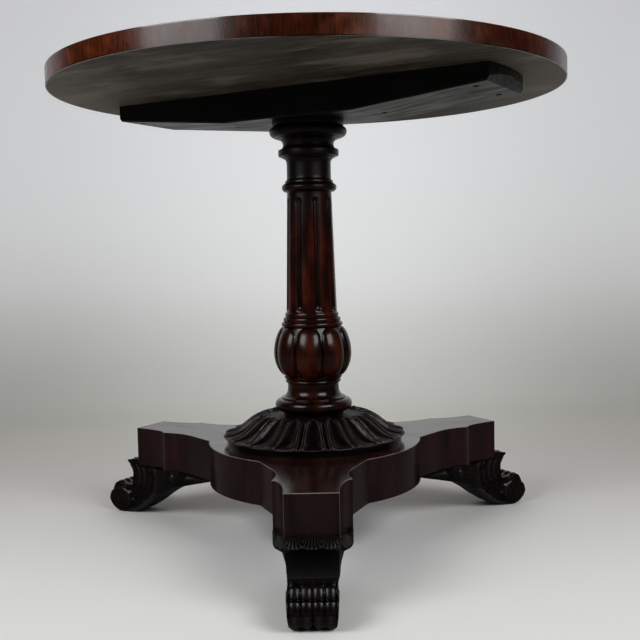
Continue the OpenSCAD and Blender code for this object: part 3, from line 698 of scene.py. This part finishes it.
    # half the width at each point: the tapering body, and the block of the volute under the arm
    body = np.interp(z, [0, 50, footTop], [f["toeHalf"], f["kneeHalf"], f["crestHalf"]])
    body = body + f["flare"] * ease(c, 0, 0.5) * ease(z, 46, 77)
    blockLow = f["blockLow"] + 3 * ease(u, 285, 310)
    under = np.clip((blockLow + 8 - z) / 13, 0, 1)
    block = ease(u, *f["blockBack"]) * (1 - ease(u, *f["blockFront"])) * (1 - under ** 3) ** 0.5
    tailing = 1 - 0.1 * (1 - ease(u, 215, 250))
    half = (body + (f["voluteHalf"] - body) * block) * tailing
    shareX = np.clip(cornerRadius / half, 0, 1)
    x = (1 - shareX) * innerX + shareX * outX
    v = half * x

    # carving in front: four reeds over the knuckle and the scroll, and fans of rays round the crest
    inFront = np.where(outY < 0, -outY, 0) * np.abs(outY)
    atSide = np.abs(outX)
    scrollFar = np.hypot(u - f["scroll"], z - scrollZ)
    reedPlace = (v / f["toeHalf"] + 1) / 2 * f["reeds"]
    reed = np.clip(np.abs((reedPlace % 1) - 0.5) * 2, 0, 1)
    reedCut = -f["reedDepth"] * (1 - np.sqrt(1 - reed ** 2 * 0.985))
    onScroll = ease(rowLength, notchAt - 3, notchAt + 3)
    across = v / (2 * f["crestHalf"])
    lobe = (across + 0.5) * f["crestLobes"]
    fan = (lobe % 1) - 0.5
    onCrest = ease(rowLength, 8, 12) * (1 - ease(rowLength, tipAt + 2, tipAt + 5))
    spread = 7.5 - 3 * ease(rowLength, 8, tipAt + 4)
    rays = 0.7 * (np.cos(2 * np.pi * spread * fan) - 1) * onCrest
    push = (onScroll * reedCut + rays) * inFront
    u = u + frontNormal[:, :1] * push
    z = z + frontNormal[:, 1:] * push
    behind = np.where(outY > 0, outY, 0) ** 2 * ease(rowLength, knuckleAt + 8, scrollAt + 4) * reedCut
    u = u + backNormal[:, :1] * behind
    z = z + backNormal[:, 1:] * behind
    # the crest's edge hangs in three scallops
    nearTip = ease(rowLength, 10, tipAt) * (1 - ease(rowLength, tipAt + 4, tipAt + 20)) * (1 - c) ** 4
    scallop = np.sqrt(np.clip(1 - (2 * fan) ** 2, 0, 1))
    u = u - (2.2 * (1 - scallop) + 3.6 * (2 * across) ** 4) * nearTip
    z = z - 3 * scallop * nearTip

    # carving at the sides: flutes that sweep down from under the arm to the scroll, a full belly behind
    # them, and the eye of the volute over it
    sweep = np.interp(frontLength, [tipAt, throatAt, notchAt, knuckleAt], f["sweep"])
    sweep = blurAlong(sweep, 6)[:, None]
    place = np.clip(c / sweep, 0, 1) * f["flutes"]
    flute = np.sqrt(np.clip(1 - (2 * (place % 1) - 1) ** 2 * 0.97, 0, 1))
    onFlutes = ease(rowLength, tipAt + 2, tipAt + 10) * (1 - ease(rowLength, knuckleAt + 2, scrollAt + 8))
    offScroll = ease(scrollFar, f["scrollRadius"] - 5, f["scrollRadius"] + 2)
    fluted = -f["fluteDepth"] * flute * onFlutes * offScroll * (c < sweep) * (1 - 0.8 * block)
    belly = np.sin(np.pi * np.clip((c - sweep) / (1 - sweep), 0, 1))
    fluted = fluted + 2.5 * belly * onFlutes * offScroll * (1 - block)
    rings = -0.8 * (hump(scrollFar, 8.5, 1.6) + hump(scrollFar, 16, 1.6) + hump(scrollFar, 22.5, 1.4))
    # the eye winds outwards: a groove whose distance from the middle grows with the turn round it
    eyeU, eyeZ = u - f["eye"][0], z - f["eye"][1]
    eye = np.hypot(eyeU, eyeZ)
    winding = 0.5 + np.arctan2(eyeZ, -eyeU) / (2 * np.pi)
    eyeRadius, grooveWide = f["eyeRadius"], 1.9
    spiral = hump(eye, eyeRadius * (0.5 + 0.5 * winding), grooveWide)
    spiral = spiral + hump(eye, eyeRadius * (1 + 0.5 * winding), grooveWide)
    spiral = -2.2 * spiral * (1 - ease(eye, eyeRadius * 1.15, eyeRadius * 1.5))
    tailLeaf = -0.5 * (0.5 - 0.5 * np.cos(2 * np.pi * (u + 0.6 * z) / 9))
    tailLeaf = tailLeaf * (1 - ease(u, 238, 250)) * ease(u, 200, 220)
    # the leaf dish on the front of the block
    (dishV, dishZ), (dishWide, dishTall) = f["dish"], f["dishHalf"]
    dishAway = np.hypot((np.abs(v) - dishV) / dishWide, (z - dishZ) / dishTall)
    dish = np.clip(1 - dishAway ** 2, 0, 1) ** 0.6 * (u > f["blockFront"][0]) * atSide * ease(z, 72, 76)
    u = u - 4 * dish
    sideCarving = fluted + (1 - offScroll) * rings + spiral + tailLeaf * ease(z, 60, 68)
    v = v + np.sign(outX) * sideCarving * atSide
    # the scroll's reach, and nothing rises past the plinth's underside except the crest before the arm
    u = u + f["reach"][arm] * ease(u, 320, 378) * (1 - ease(z, 60, 84))
    z = np.where(u < f["armEnd"], np.minimum(z, top - 0.8 * np.minimum(rowLength / tipAt, 2)), z)
    z = np.maximum(z, 0.0002 * (frontLength[-1] - rowLength))

    relief = 0.7 * reliefOf(push + sideCarving * atSide + behind, 3, 3)
    # the rays' ridges, the crest's edge, the flutes' ridges and the dishes' middles are lightened, partly
    # wear and partly a painted highlight; painted shade darkens the throat under the crest, the crease
    # between knuckle and scroll and the dishes' outlines
    inThroat = ease(rowLength, tipAt + 12, tipAt + 18) * (1 - ease(rowLength, notchAt - 2, notchAt + 6))
    edge = 2.5 * hump(rowLength, tipAt + 1, 1.6)
    ridges = hump(flute, 0, 0.4) * onFlutes * offScroll * (c < sweep) * atSide
    crease = hump(rowLength, lengthAt(frontSoft, f["crease"]), 1.8)
    relief = relief + ridges + inFront * (3 * (rays + 0.45 * onCrest) + edge - 1.5 * inThroat - 2.5 * crease)
    relief = relief + (2.2 * dish - 3 * hump(dishAway, 1.15, 0.2)) * atSide * (u > f["blockFront"][0] - 2)
    # the throat and the tail under the plinth were never polished
    dull = np.maximum(inThroat * inFront, (1 - ease(u, 238, 262)) * atSide)
    turned = np.radians(angle)
    cosine, sine = np.cos(turned), np.sin(turned)
    points = np.stack([u * cosine + v * -sine, u * sine + v * cosine, z], -1)
    # the fibres follow the foot from its tail to its scroll
    grain = np.stack([v + 400 * index, z, u], -1)
    gridPiece("scroll_" + arm, points, material, ["foot_" + arm], grain=grain,
        relief=relief, dull=dull)


buildPillar(pillarSizes)
buildCollar(collarSizes)
footWood = carvedMahogany("polished mahogany, feet", footLook, ownGrain=True)
for index, (arm, angle) in enumerate(armAngles.items()):
    buildFoot(footSizes, arm, angle, footWood, index)


# Finishes of the flat pieces, whose CAD nodes stay

def dress(node, material):
    # the finish goes on the object's slots, so that the node's mesh is left as it is
    for slot in nodes[node].material_slots:
        slot.link = "OBJECT"
        slot.material = material


plinthLook = {
    "dark": "#170907", "middle": "#29130f", "warm": "#3a1b15", "glow": 0.6,
    "arris": "#958680", "arrisShare": 0.9,
    "figure": (7, 150), "cloud": 40, "pores": 0.66, "ior": 1.35, "rough": 0.18, "coat": 0.1,
    "armLength": 343.3, "armHalf": 36, "cuspLength": 271, "cuspHalf": 54, "arrisWidth": 1.2,
    "sheet": {   # the upright faces are darker and duller than the tops
        "dark": "#120606", "middle": "#210e0e", "warm": "#2e1313", "pores": 0.78, "ior": 1.3, "rough": 0.22,
    },
    # painted shade: the ring sits in the recess under the collar's edge and is made nearly black
    "ring": {"dark": "#030101", "middle": "#060302", "warm": "#0a0403", "ior": 1.22, "rough": 0.3},
    # how much pale line the upper edges, the end's corners and the cusps get, partly wear and partly a
    # painted highlight, less on the side arms
    "lines": (1.0, 0.22, 0.0), "sideArms": {"lines": (0.0, 0.0, 0.7), "arris": "#3a3230"},
    # painted sheen: the side arms are lighter and warmer than the front arm, as their tops mirror the pale
    # room
    "sideArmSheen": {"dark": "#241009", "middle": "#3a1c16", "warm": "#4a241c", "ior": 1.33, "coat": 0.04},
    # the end faces in front and at the right
    "darkEnds": {"dark": "#0d0504", "middle": "#190b0a", "warm": "#241010"},
}
rimLook = {
    "glow": 0.4, "arris": "#0d0504", "arrisShare": 1.0,
    "figure": (1.8, 34), "cloud": 26, "cloudLong": 1.0, "pores": 0.5,
    "ior": 1.34, "rough": 0.24, "coat": 0.08, "edgeLine": 2.2, "bump": 0.7, "uneven": 0.06,
    # tones of the eight veneers, each cut from another leaf: dark, middle and warm
    "tones": [
        ("#1c0701", "#381204", "#532106"), ("#2b0d02", "#4b1f08", "#6b300c"),
        ("#220a02", "#3b1506", "#572408"), ("#270c02", "#451a07", "#632b0a"),
        ("#1e0701", "#391404", "#522206"), ("#2a0d02", "#461b07", "#662d0b"),
        ("#210902", "#3b1605", "#542307"), ("#300f02", "#4f1f05", "#75340a"),
    ],
}
topLook = {
    "dark": "#220c04", "middle": "#3e1908", "warm": "#5a2a10", "glow": 0.8,
    "arris": "#8d7468", "arrisShare": 0.7,
    "figure": (8, 320), "cloud": 60, "pores": 0.72, "ior": 1.45, "rough": 0.2, "coat": 0.45,
}
boardLook = {
    "dark": "#1c1814", "light": "#50483d", "scratch": "#857b6e", "angle": 150,
    "dustAndSheen": "#857e73", "sheenFrom": 240, "sheenTo": 385,   # millimetres from the middle of the board
}
bearerLook = {
    "dark": "#040302", "middle": "#0b0806", "warm": "#120d09", "glow": 0.5,
    "arris": "#5a4c42", "arrisShare": 0.5,
    "figure": (10, 160), "cloud": 9, "cloudLong": 9, "pores": 0.8, "ior": 1.38, "rough": 0.48, "coat": 0.0,
    "bump": 0.6, "uneven": 0.12,
}
paleLook = {
    "dark": "#a8865c", "middle": "#c2a074", "warm": "#cfae82", "glow": 0.5,
    "figure": (4, 80), "cloud": 20, "pores": 0.9, "ior": 1.4, "rough": 0.55, "coat": 0.0,
}


def plinthEdges(look):
    # pale lines, partly wear and partly a painted highlight: the upper edge of the upright faces, the corners
    # of an arm's end face and the cusps
    def edges(material, u, v, z):
        side = addNode(material, "Math", {"operation": "ABSOLUTE"}, {0: v})
        width = look["arrisWidth"]
        normal = addNode(material, "NewGeometry").outputs["True Normal"]
        rising = addNode(material, "SeparateXYZ", links={0: normal}).outputs[2]
        level = addNode(material, "Math", {"operation": "ABSOLUTE"}, {0: rising})
        atEnd = nearEdge(material, u, look["armLength"], 1.5)
        atCorner = nearEdge(material, side, look["armHalf"], width)
        atCusp = nearEdge(material, u, look["cuspLength"], 4)
        atTip = nearEdge(material, side, look["cuspHalf"], 2.5)
        masks = [
            both(material, nearEdge(material, z, plinthTop, width), stretch(material, level, 0.3, 0.6, 1, 0)),
            both(material, atEnd, atCorner), both(material, atCusp, atTip),
        ]
        return largest(material, *(both(material, mask, share) for mask, share in zip(masks, look["lines"])))
    return edges


def topEdges(look):
    # the dark line where dirt and shellac gathered along the lower edge of the rim
    def edges(material, x, y, z):
        return nearEdge(material, z, boardLow, look["edgeLine"])
    return edges


def stainedBoards(name, look):
    # Underside of the top: softwood-like boards stained grey-brown and never polished, dry and dusty, with
    # faint streaks and scratches along the boards, and paler towards its sides, partly dust and partly a
    # painted sheen.
    material = newMaterial(name)
    place = objectPlace(material, look["angle"])
    streaks = grainNoise(material, place, (9, 9, 260), lengthwise, 4.0, 0.65, 0.3)
    blotch = grainNoise(material, place, (70, 70, 150), lengthwise, 3.0, 0.55, 0.4)
    scratch = grainNoise(material, place, (1.2, 1.2, 70), lengthwise, 2.0, 0.5)
    colour = layer(material, look["dark"], look["light"], stretch(material, streaks, 0.3, 0.7))
    colour = layer(material, colour, look["dark"], stretch(material, blotch, 0.5, 0.7, 0, 0.6))
    colour = layer(material, colour, look["scratch"], stretch(material, scratch, 0.56, 0.7, 0, 0.6))
    colour = layer(material, colour, look["scratch"], stretch(material, blotch, 0.47, 0.33, 0, 0.4))
    # paler towards its two sides: partly dust, partly a painted sheen of the pale room
    aside = addNode(material, "SeparateXYZ", links={0: objectPlace(material)}).outputs[0]
    aside = addNode(material, "Math", {"operation": "ABSOLUTE"}, {0: aside})
    sheenShare = stretch(material, aside, look["sheenFrom"] * mm, look["sheenTo"] * mm, 0, 0.55)
    colour = layer(material, colour, look["dustAndSheen"], sheenShare)
    rough = stretch(material, streaks, 0.3, 0.7, 0.62, 0.78)
    bump = addNode(material, "Bump", {"Strength": 0.35, "Distance": 0.2 * mm}, {"Height": streaks})
    return finishMaterial(material, {"IOR": 1.27}, {"Base Color": colour, "Roughness": rough, "Normal": bump})


def ironScrews(name):
    # Old hand-cut iron screws, brown with age: dull dark metal with rust in its low places
    material = newMaterial(name)
    place = objectPlace(material)
    rust = grainNoise(material, place, (2.5, 2.5, 2.5), upright, 4.0, 0.6)
    colour = layer(material, "#5b5550", "#3b2a20", stretch(material, rust, 0.4, 0.6))
    rough = stretch(material, rust, 0.3, 0.7, 0.42, 0.7)
    return finishMaterial(material, {"Metallic": 1.0}, {"Base Color": colour, "Roughness": rough})


for k, (dark, middle, warm) in enumerate(rimLook["tones"]):
    tone = rimLook | {"dark": dark, "middle": middle, "warm": warm}
    banding = veneeredMahogany(f"mahogany crossbanding {k + 1}", tone, edges=topEdges(rimLook))
    dress(f"rim_veneer_{k + 1}", banding)
dress("top_veneer", veneeredMahogany("polished mahogany veneer of the top", topLook, 60, lengthwise))
underside = stainedBoards("stained boards", boardLook)
for k in range(5):
    dress(f"top_board_{k + 1}", underside)
dress("bearer", veneeredMahogany("stained bearer", bearerLook, boardLook["angle"], lengthwise))
screws = ironScrews("aged iron")
pale = veneeredMahogany("pale hardwood", paleLook)
for node in ("bearer_end_screws", "bearer_middle_screws", "foot_screws"):
    dress(node, screws)
for node in ("bearer_wedge", "plinth_wedge", "arm_dowels", "foot_dowels"):
    dress(node, pale)
# the ring's near-black colour is painted shade
dress("collar_ring", veneeredMahogany("dull mahogany, ring in painted shade", plinthLook | plinthLook["ring"]))
sheetLook = plinthLook | plinthLook["sheet"]
for arm, angle in armAngles.items():
    wornAndLit, board = ({}, {}) if arm == "front" else (plinthLook["sideArms"], plinthLook["sideArmSheen"])
    solid, sheet = plinthLook | board | wornAndLit, sheetLook | wornAndLit
    end = sheet if arm == "left" else sheet | plinthLook["darkEnds"]
    solid = veneeredMahogany(f"mahogany, {arm} arm", solid, angle, lengthwise, plinthEdges(solid))
    sheet = veneeredMahogany(f"mahogany veneer, {arm} arm", sheet, angle, upright, plinthEdges(sheet))
    dress("plinth_arm_" + arm, solid)
    dress("side_veneers_" + arm, sheet)
    end = veneeredMahogany(f"mahogany veneer, {arm} end", end, angle, upright, plinthEdges(end))
    dress("end_veneer_" + arm, end)
lobeEdges = plinthEdges(plinthLook | {"armLength": 0, "cuspLength": 0})
for lobe, angle in {"front_right": -30, "back": 90, "front_left": 210}.items():
    solid = veneeredMahogany(f"mahogany, {lobe} block", plinthLook, angle, lengthwise, lobeEdges)
    sheet = veneeredMahogany(f"mahogany veneer, {lobe} lobe", sheetLook, angle, upright, lobeEdges)
    dress("plinth_block_" + lobe, solid)
    dress("lobe_veneer_" + lobe, sheet)
print("flat pieces finished")


# Stage, lamps and camera

stageSizes = {
    "front": -3.4, "bendFrom": 1.15, "bendRadius": 0.5, "top": 3.2, "half": 3.2,   # metres
    "paper": "#ececea", "low": -0.6, "high": 3.2, "sideFrom": 0.0, "sideTo": 1.0, "flag": 0.22,
    "contact": 0.08,
    # the glow's colours at places along the sheet, in its middle and a metre to the side, rounded from
    # what another program's fit gave, which report.md tells of
    "glowPlaces": (-0.5, -0.2, 0.05, 0.35, 0.7, 1.15, 1.55, 1.8, 2.0, 2.4, 2.9),
    "glowMiddle": (
        "#636361", "#5e5f60", "#2c3036", "#484443", "#635852", "#6b6f64", "#747470", "#818180", "#949698",
        "#9ea0a4", "#90929a",
    ),
    "glowSide": (
        "#4d5040", "#57584a", "#4c4638", "#2a2014", "#2c2810", "#403d37", "#414239", "#585857", "#737375",
        "#828489", "#7b7c83",
    ),
}


def backdropPaper(s):
    # Matt pale paper. Part of its colour is a soft glow that only the camera and reflections see, so
    # that the backdrop changes slowly from pale to grey without any more light on the table. The place
    # along the sheet is Y + Z: the floor, then the bend, then the wall.
    material = newMaterial("matt backdrop paper")
    split = addNode(material, "SeparateXYZ", links={0: objectPlace(material)})
    along = addNode(material, "Math", {"operation": "ADD"}, {0: split.outputs[1], 1: split.outputs[2]})
    middle, side = (ramp(material, along, list(zip(s["glowPlaces"], s[colours])), s["low"], s["high"])
        for colours in ("glowMiddle", "glowSide"))
    aside = addNode(material, "Math", {"operation": "ABSOLUTE"}, {0: split.outputs[0]})
    aside = addNode(material, "MapRange", {
        "interpolation_type": "SMOOTHSTEP", "From Min": s["sideFrom"], "From Max": s["sideTo"]
    }, {"Value": aside})
    glow = addNode(material, "Mix", {"data_type": "RGBA"}, {"Factor": aside, "A": middle, "B": side})
    # the glow fades close to the feet, as the light of a pale room does
    near = addNode(material, "AmbientOcclusion", {"samples": 8, "Distance": s["contact"]}, {"Color": glow})
    glow = addNode(material, "Mix", multiply, {"A": near.outputs["Color"], "B": near.outputs["AO"]})
    path = addNode(material, "LightPath")
    # polished wood mirrors the floor only dimly, as if a black cloth lay there outside the picture
    dim = stretch(material, split.outputs[1], 0.45, 1.05, s["flag"], 1.0)
    level = addNode(material, "Mix", {"data_type": "FLOAT", "A": 1.0}, {
        "Factor": path.outputs["Is Glossy Ray"], "B": dim})
    glow = addNode(material, "Mix", multiply, {"A": glow, "B": level})
    paper = addNode(material, "Mix", multiply | {"A": hexColour(s["paper"])}, {"B": level})
    kinds = ("Is Camera Ray", "Is Glossy Ray", "Is Transmission Ray")
    seen = largest(material, *(path.outputs[kind] for kind in kinds))
    # seen from behind or below, the sheet is clear, so that the table can be looked at from all round
    behind = addNode(material, "NewGeometry").outputs["Backfacing"]
    clear = both(material, behind, path.outputs["Is Camera Ray"])
    shown = addNode(material, "Math", {"operation": "SUBTRACT", 0: 1.0}, {1: clear})
    return finishMaterial(material, {"Roughness": 0.8, "IOR": 1.2}, {
        "Base Color": paper, "Emission Color": glow, "Emission Strength": seen, "Alpha": shown})


def buildStage(s):
    # Floor and backdrop in one sheet: a line along the floor, a quarter circle and a line up, drawn across
    a = np.radians(np.linspace(-90, 0, 17))
    bend = np.stack([s["bendFrom"] + s["bendRadius"] * np.cos(a), s["bendRadius"] * (1 + np.sin(a))], 1)
    line = np.concatenate([[[s["front"], 0]], bend, [[s["bendFrom"] + s["bendRadius"], s["top"]]]])
    x = np.linspace(-s["half"], s["half"], 9)
    points = np.stack(np.broadcast_arrays(x[None, :], line[:, :1], line[:, 1:]), -1)
    i, j = np.meshgrid(np.arange(len(line) - 1), np.arange(len(x) - 1), indexing="ij")
    first = (i * len(x) + j).ravel()
    quads = np.stack([first, first + 1, first + len(x) + 1, first + len(x)], 1)
    mesh = bpy.data.meshes.new("backdrop")
    mesh.from_pydata(points.reshape(-1, 3).tolist(), [], quads.tolist())
    mesh.polygons.foreach_set("use_smooth", np.ones(len(quads), bool))
    backdrop = bpy.data.objects.new("backdrop", mesh)
    scene.collection.objects.link(backdrop)
    mesh.materials.append(backdropPaper(s))


lampSettings = {
    # a soft box at each side of the camera, with its direction in degrees from the camera's
    "turns": {"soft box left": -46, "soft box right": 42},
    "far": 1.9, "height": 1.42, "wide": 1.15, "tall": 0.9, "power": 24,   # metres and watts
}


def addLamps(settings, fill):
    # soft boxes aimed at the middle of the table, and a world that gives a little light all round
    for name, turn in settings["turns"].items():
        data = bpy.data.lights.new(name, "AREA")
        data.shape = "RECTANGLE"
        data.size, data.size_y = settings["wide"], settings["tall"]
        data.energy = settings["power"]
        lamp = bpy.data.objects.new(name, data)
        a = np.radians(turn)
        place = Vector((settings["far"] * np.sin(a), -settings["far"] * np.cos(a), settings["height"]))
        aim = Vector((0, 0, 0.45)) - place
        lamp.visible_camera = False
        lamp.matrix_world = Matrix.Translation(place) @ aim.to_track_quat("-Z", "Y").to_matrix().to_4x4()
        scene.collection.objects.link(lamp)
    world = bpy.data.worlds.new("pale room")
    world.use_nodes = True
    background = world.node_tree.nodes["Background"]
    background.inputs["Color"].default_value = hexColour("#dcdcda")
    seen = world.node_tree.nodes.new("ShaderNodeLightPath").outputs["Is Camera Ray"]
    level = world.node_tree.nodes.new("ShaderNodeMapRange")
    level.inputs["To Min"].default_value = fill
    level.inputs["To Max"].default_value = 0.9
    world.node_tree.links.new(seen, level.inputs["Value"])
    world.node_tree.links.new(level.outputs[0], background.inputs["Strength"])
    scene.world = world


cameraSettings = {   # millimetres and degrees
    "place": (25.7, -1535.85, 461.12), "yaw": -0.479, "pitch": -4.036, "roll": -1.197, "lens": 53.954,
}


def addCamera(c):
    # forward comes from the yaw and the pitch, and the roll turns right and up about it
    yaw, pitch, roll = (np.radians(c[k]) for k in ("yaw", "pitch", "roll"))
    forward = np.array([np.sin(yaw) * np.cos(pitch), np.cos(yaw) * np.cos(pitch), np.sin(pitch)])
    right = np.array([np.cos(yaw), -np.sin(yaw), 0])
    up = np.cross(right, forward)
    across = np.cos(roll) * right + np.sin(roll) * up
    above = np.cos(roll) * up - np.sin(roll) * right
    data = bpy.data.cameras.new("camera")
    data.lens = c["lens"]
    data.sensor_width = 36
    camera = bpy.data.objects.new("camera", data)
    turn = Matrix(np.stack([across, above, -forward], 1).tolist()).to_4x4()
    camera.matrix_world = Matrix.Translation(Vector(c["place"]) * mm) @ turn
    scene.collection.objects.link(camera)
    scene.camera = camera


buildStage(stageSizes)
addLamps(lampSettings, fill=0.05)
addCamera(cameraSettings)
